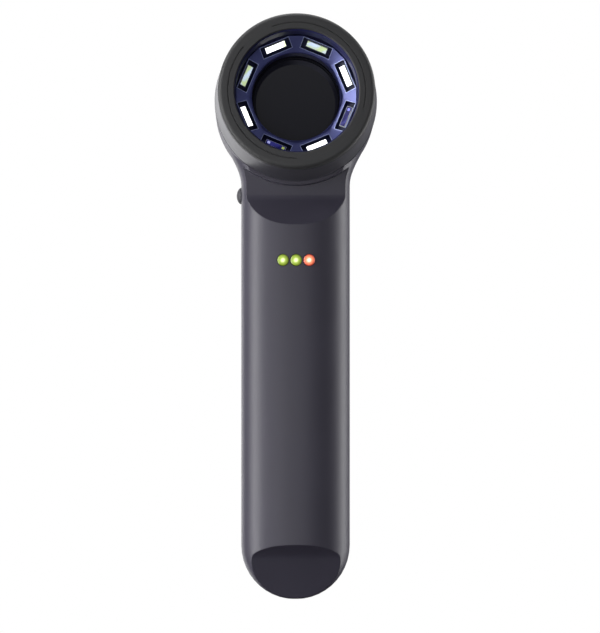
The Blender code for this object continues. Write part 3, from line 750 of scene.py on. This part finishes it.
# %% Lenses and cell
def arc_points(rim_radius, rim, apex, steps=14):
    """Points of a shallow spherical cap from its rim to its apex."""
    rise = apex - rim
    radius = (rim_radius ** 2 + rise ** 2) / (2 * abs(rise))
    points = []
    for i in range(steps + 1):
        r = rim_radius * (1 - i / steps)
        depth = radius - math.sqrt(radius ** 2 - r ** 2)
        points.append((r, apex - math.copysign(depth, rise)))
    return points


def lens(name, radius, front_rim, front_apex, back_rim, back_apex):
    front = arc_points(radius, front_rim, front_apex)
    back = arc_points(radius, back_rim, back_apex)
    obj = lathe(name, list(reversed(back)) + front, closed=False, segments=128)
    put(obj, TO_HEAD)
    soften(obj, 25)
    return obj


front_glass = lens("front_glass", 14.4, 7.6, 8.4, 5.6, 5.0)
dress(front_glass, glass_paint, "glass", "lens_cell", "front_lens")
rear_glass = lens("rear_glass", 14.4, 0.6, 2.0, -4.0, -5.6)
dress(rear_glass, glass_paint, "glass", "lens_cell", "rear_lens")


# %% [markdown]
# ## The eye side
# The focusing ring has a ribbed grip that a finger turns, and a soft rim in front of the eye. The
# ribs are cut with one bar, repeated round the axis.

# %% Focusing ring
RIBS = 40
turning = lathe("focus_grip", [(18.2, -4.5), (19.5, -4.5), (19.5, -10.4), (20.8, -10.4),
                               (20.8, -11.9), (19.5, -11.9), (19.5, -14.9), (21.1, -14.9),
                               (21.45, -15.05), (21.6, -15.4), (21.6, -20.5), (21.45, -20.85),
                               (21.1, -21.0), (16.8, -21.0), (16.5, -20.9), (16.4, -20.6),
                               (16.4, -14.3), (18.2, -14.3)], segments=160)
cutters = []
for i in range(RIBS):
    turn = Matrix.Rotation(2 * math.pi * i / RIBS, 4, "Z")
    cutters.append(put(peg("rib_gap", 0.85, (22.0, 0, -19.9), (22.0, 0, -15.9), 16), turn))
alone(cutters[0])
for cutter in cutters:
    cutter.select_set(True)
bpy.ops.object.join()
join_shape(turning, bpy.context.object, "DIFFERENCE")
put(turning, TO_HEAD)
soften(turning, 32)
dress(turning, grip_paint, "focus_grip", "focus_ring", "focus_ring")

rim = [(16.4, -21.3), (20.3, -21.3)]
for i in range(9):
    angle = math.radians(22.5 * i)
    rim.append((18.85 + 1.6 * math.cos(angle), -22.1 - 1.7 * math.sin(angle)))
rim += [(16.6, -22.1)]
eye_rim = lathe("eye_rim", rim, segments=128)
put(eye_rim, TO_HEAD)
soften(eye_rim, 40)
dress(eye_rim, rubber_paint, "soft_rim", "focus_ring", "eyepiece_rim")

# %% [markdown]
# ## Small parts on the casing
# The button is a round-topped cap that slides in the side wall. The three status lights are short
# light pipes with domed tops; the light stands behind them, so each is brightest at its middle.
# The case screws have a cross recess, and the charging socket has its tongue.


# %% Button
cap = [(0, 18.2)]
for i in range(1, 11):
    angle = math.radians(9.0 * i)
    cap.append((2.6 * math.sin(angle), 16.6 + 1.6 * math.cos(angle)))
cap += [(2.6, 14.4), (3.4, 14.4), (3.4, 13.9), (0, 13.9)]
button = lathe("button_top", cap, closed=False, segments=64)
put(button, Matrix.Translation((0, 0, BUTTON_HEIGHT * MM)) @ Matrix.Rotation(-math.pi / 2, 4, "Y"))
soften(button, 35)
dress(button, finish("button_rubber", (0.030, 0.029, 0.036), 0.6, grain=0.3, mottle=0.05),
      "button", "button", "button_cap")


# %% Status lights
def pipe_glow(name, hot, cool, middle, strength):
    """A light pipe that is brightest in the middle and deepest in colour at its rim."""
    made = bpy.data.materials.new(name)
    made.use_nodes = True
    nodes, links = made.node_tree.nodes, made.node_tree.links
    shader = nodes["Principled BSDF"]
    shader.inputs["Roughness"].default_value = 0.12
    shader.inputs["Emission Strength"].default_value = strength
    place = nodes.new("ShaderNodeTexCoord")
    offset = nodes.new("ShaderNodeVectorMath")
    offset.operation = "SUBTRACT"
    offset.inputs[1].default_value = middle
    links.new(place.outputs["Object"], offset.inputs[0])
    flat = nodes.new("ShaderNodeVectorMath")
    flat.operation = "MULTIPLY"
    flat.inputs[1].default_value = (1, 0, 1)
    links.new(offset.outputs["Vector"], flat.inputs[0])
    length = nodes.new("ShaderNodeVectorMath")
    length.operation = "LENGTH"
    links.new(flat.outputs["Vector"], length.inputs[0])
    reach = nodes.new("ShaderNodeMapRange")
    reach.inputs["From Max"].default_value = STATUS_RADIUS * MM
    links.new(length.outputs["Value"], reach.inputs["Value"])
    ramp = nodes.new("ShaderNodeValToRGB")
    ramp.color_ramp.elements[0].position = 0.12
    ramp.color_ramp.elements[0].color = (*hot, 1)
    ramp.color_ramp.elements[1].position = 1.0
    ramp.color_ramp.elements[1].color = (*cool[1], 1)
    between = ramp.color_ramp.elements.new(0.48)
    between.color = (*cool[0], 1)
    links.new(reach.outputs["Result"], ramp.inputs["Fac"])
    links.new(ramp.outputs["Color"], shader.inputs["Base Color"])
    links.new(ramp.outputs["Color"], shader.inputs["Emission Color"])
    return made


GREEN = ((0.28, 0.37, 0.06), (0.09, 0.13, 0.008))
RED = ((0.80, 0.24, 0.12), (0.28, 0.025, 0.018))
for number, (x, _, z) in enumerate(STATUS_PLACES, start=1):
    dome = [(0, 12.95)]
    for i in range(1, 9):
        angle = math.radians(11.25 * i)
        dome.append((STATUS_RADIUS * math.sin(angle), 12.35 + 0.6 * math.cos(angle)))
    dome += [(STATUS_RADIUS, 11.6), (1.4, 11.4), (1.4, 4.9), (0, 4.9)]
    pipe = lathe(f"status_light_{number}", dome, closed=False, segments=48)
    put(pipe, Matrix.Translation((x * MM, 0, z * MM)) @ Matrix.Rotation(math.pi / 2, 4, "X"))
    soften(pipe, 35)
    lit = number < 3
    paint = pipe_glow(f"status_glow_{number}", (0.70, 0.80, 0.42) if lit else (1.0, 0.84, 0.62),
                      GREEN if lit else RED, (x * MM, 0, z * MM), 1.0)
    dress(pipe, paint, "green_light" if lit else "red_light", "casing", f"light_pipe_{number}")

# %% Case screws and charging socket
for number, (x, _, z) in enumerate(CASE_SCREWS, start=1):
    head = [(0, 9.8), (1.5, 9.8), (1.85, 9.65), (2.0, 9.4), (2.0, 8.5), (0, 8.5)]
    screw = lathe(f"case_screw_head_{number}", head, closed=False, segments=48)
    for turn in (0, math.pi / 2):
        slot_cut = put(block("slot_cut", (-1.15, -0.24, 9.1), (1.15, 0.24, 10.5)),
                       Matrix.Rotation(turn, 4, "Z"))
        join_shape(screw, slot_cut, "DIFFERENCE")
    put(screw, Matrix.Translation((x * MM, 0, z * MM)) @ Matrix.Rotation(-math.pi / 2, 4, "X"))
    soften(screw, 30)
    dress(screw, steel_paint, "steel", "casing", f"case_screw_{number}")

socket = block("socket_shell", (-4.45, -1.6, -73.0), (4.45, 1.6, -65.7))
edit(socket, "EDGE")
choose(socket, "edges", lambda e: abs(socket.data.vertices[e.vertices[0]].co.z
                                      - socket.data.vertices[e.vertices[1]].co.z) > 0.005)
bpy.ops.mesh.bevel(offset=0.0014, segments=8)
leave()
hollow = block("socket_hollow", (-4.2, -1.35, -74.0), (4.2, 1.35, -66.2))
edit(hollow, "EDGE")
choose(hollow, "edges", lambda e: abs(hollow.data.vertices[e.vertices[0]].co.z
                                      - hollow.data.vertices[e.vertices[1]].co.z) > 0.005)
bpy.ops.mesh.bevel(offset=0.00125, segments=8)
leave()
join_shape(socket, hollow, "DIFFERENCE")
soften(socket, 35)
dress(socket, steel_paint, "steel", "casing", "usb_socket")
tongue = block("socket_tongue", (-3.3, -0.35, -71.8), (3.3, 0.35, -66.1))
dress(tongue, dull_black, "blackened_metal", "casing")

# %% [markdown]
# ## Pieces of the working model that stay
# The inner parts keep their shapes from the working model and get a proper finish each: moulded
# barrel and tray, dark solder mask on the main boards, plated contacts, and a wrapped battery cell.
# The lamp board, seen only through the gap round the carrier, takes the recess's painted shade.

# %% Finishes of the inner parts
barrel_paint = finish("barrel_moulding", (0.018, 0.018, 0.022), 0.55, grain=0.3, mottle=0.08)
black_metal = finish("blackened_metal", (0.012, 0.012, 0.014), 0.42, metallic=0.3, mottle=0.1)
board_paint = finish("solder_mask", (0.006, 0.030, 0.022), 0.35, grain=0.2, mottle=0.15)
plate_paint = finish("plated_contact", (0.62, 0.60, 0.55), 0.28, metallic=1.0, mottle=0.1)
wrap_paint = finish("cell_wrap", (0.030, 0.075, 0.190), 0.30, mottle=0.06, coat=0.2)
tray_paint = finish("tray_moulding", (0.055, 0.055, 0.060), 0.60, grain=0.4, mottle=0.08)
flex_paint = finish("flat_lead", (0.330, 0.120, 0.025), 0.40, mottle=0.12)
led_paint = finish("small_lamp_body", (0.60, 0.62, 0.58), 0.40, mottle=0.05)
INNER_PAINTS = {
    "lens_barrel": barrel_paint, "lens_cell": black_metal, "lens_spacer": black_metal,
    "retaining_ring": black_metal, "led_board": recess_shade_paint, "main_board": board_paint,
    "charge_board": board_paint, "tact_switch": steel_paint, "battery_cell": wrap_paint,
    "battery_tray": tray_paint, "tray_contact": plate_paint, "tray_spring": plate_paint,
    "led_flex": flex_paint,
}
for number in (1, 2, 3):
    INNER_PAINTS[f"seat_magnet_{number}"] = plate_paint
    INNER_PAINTS[f"drum_screw_{number}"] = steel_paint
    INNER_PAINTS[f"status_led_{number}"] = led_paint
for name, paint in INNER_PAINTS.items():
    node = frame["nodes"][name]
    for place in node.material_slots:
        place.material = paint
print("inner parts finished:", len(INNER_PAINTS))

# %% [markdown]
# ## Camera, light and ground
# The camera looks level at the middle of the object, a little from the left. The light is a studio
# of white panels: a tall one at the front left makes the long bright band down the handle, a dimmer
# one at the right makes the second band, and a broad one above lights the head. Between the panels
# the room is pale, so the object stands in a white field.


# %% Camera and light
def area_light(name, place, aim, width, height, watts):
    """A rectangular softbox that faces a point."""
    bpy.ops.object.light_add(type="AREA", location=place)
    lamp = bpy.context.object
    lamp.name = name
    lamp.data.shape = "RECTANGLE"
    lamp.data.size, lamp.data.size_y = width, height
    lamp.data.energy = watts
    lamp.rotation_euler = (Vector(aim) - Vector(place)).to_track_quat("-Z", "Y").to_euler()
    return lamp


CAMERA_AIM = Vector((0.0014, 0.0, 0.0135))
CAMERA_DISTANCE = 0.70
CAMERA_TURN = math.radians(-1.0)
camera_place = CAMERA_AIM + CAMERA_DISTANCE * Vector((math.sin(CAMERA_TURN),
                                                      -math.cos(CAMERA_TURN), 0.0))
bpy.ops.object.camera_add(location=camera_place)
camera = bpy.context.object
camera.name = "main_camera"
camera.rotation_euler = (CAMERA_AIM - camera_place).to_track_quat("-Z", "Y").to_euler()
camera.data.sensor_fit = "HORIZONTAL"
camera.data.sensor_width = 36.0
camera.data.lens = 135.5
bpy.context.scene.camera = camera


def around(azimuth, distance, height):
    """A place round the object. Azimuth 0 is in front of the lens, and it grows to the right."""
    a = math.radians(azimuth)
    return (distance * math.sin(a), -distance * math.cos(a), height)


area_light("left_panel", around(-70, 0.55, 0.00), (0, 0, 0.00), 0.17, 0.90, 6.5)
area_light("left_rim_panel", around(-150, 0.60, 0.05), (0, 0, 0.02), 0.25, 0.90, 1.8)
area_light("right_panel", around(102, 0.60, 0.05), (0, 0, 0.02), 0.34, 0.90, 5.5)
area_light("top_panel", (-0.05, 0.12, 0.75), (0, 0, 0.05), 0.60, 0.40, 4.0)
area_light("front_panel", around(-15, 0.95, -0.10), (0, 0, -0.02), 0.60, 0.40, 2.4)

world = bpy.data.worlds.new("pale_room")
bpy.context.scene.world = world
world.use_nodes = True
room = world.node_tree
backdrop = room.nodes["Background"]
backdrop.inputs["Color"].default_value = (1.0, 1.0, 1.0, 1.0)
backdrop.inputs["Strength"].default_value = 1.0
direction = room.nodes.new("ShaderNodeTexCoord")
parts = room.nodes.new("ShaderNodeSeparateXYZ")
room.links.new(direction.outputs["Generated"], parts.inputs["Vector"])
from_above = room.nodes.new("ShaderNodeMapRange")
from_above.inputs["From Min"].default_value = -0.6
from_above.inputs["From Max"].default_value = 0.8
from_above.inputs["To Min"].default_value = 0.02
from_above.inputs["To Max"].default_value = 0.42
room.links.new(parts.outputs["Z"], from_above.inputs["Value"])
fill = room.nodes.new("ShaderNodeBackground")
fill.inputs["Color"].default_value = (0.93, 0.94, 1.0, 1.0)
room.links.new(from_above.outputs["Result"], fill.inputs["Strength"])
rays = room.nodes.new("ShaderNodeLightPath")
choice = room.nodes.new("ShaderNodeMixShader")
room.links.new(rays.outputs["Is Camera Ray"], choice.inputs["Fac"])
room.links.new(fill.outputs["Background"], choice.inputs[1])
room.links.new(backdrop.outputs["Background"], choice.inputs[2])
room.links.new(choice.outputs["Shader"], room.nodes["World Output"].inputs["Surface"])

bpy.ops.mesh.primitive_circle_add(vertices=96, radius=1.4, fill_type="NGON",
                                  location=(0, 0, -0.30))
floor = bpy.context.object
floor.name = "floor"
floor_paint = finish("pale_floor", (0.03, 0.03, 0.03), 0.9, specular=0.0)
floor_shader = floor_paint.node_tree.nodes["Principled BSDF"]
floor_shader.inputs["Emission Color"].default_value = (1.0, 1.0, 1.0, 1.0)
floor_shader.inputs["Emission Strength"].default_value = 0.88
floor.data.materials.append(floor_paint)
floor.visible_diffuse = False
floor.visible_glossy = False
bpy.context.scene.view_settings.view_transform = "Standard"
print("camera", [round(v, 4) for v in camera.location], "lights 5")
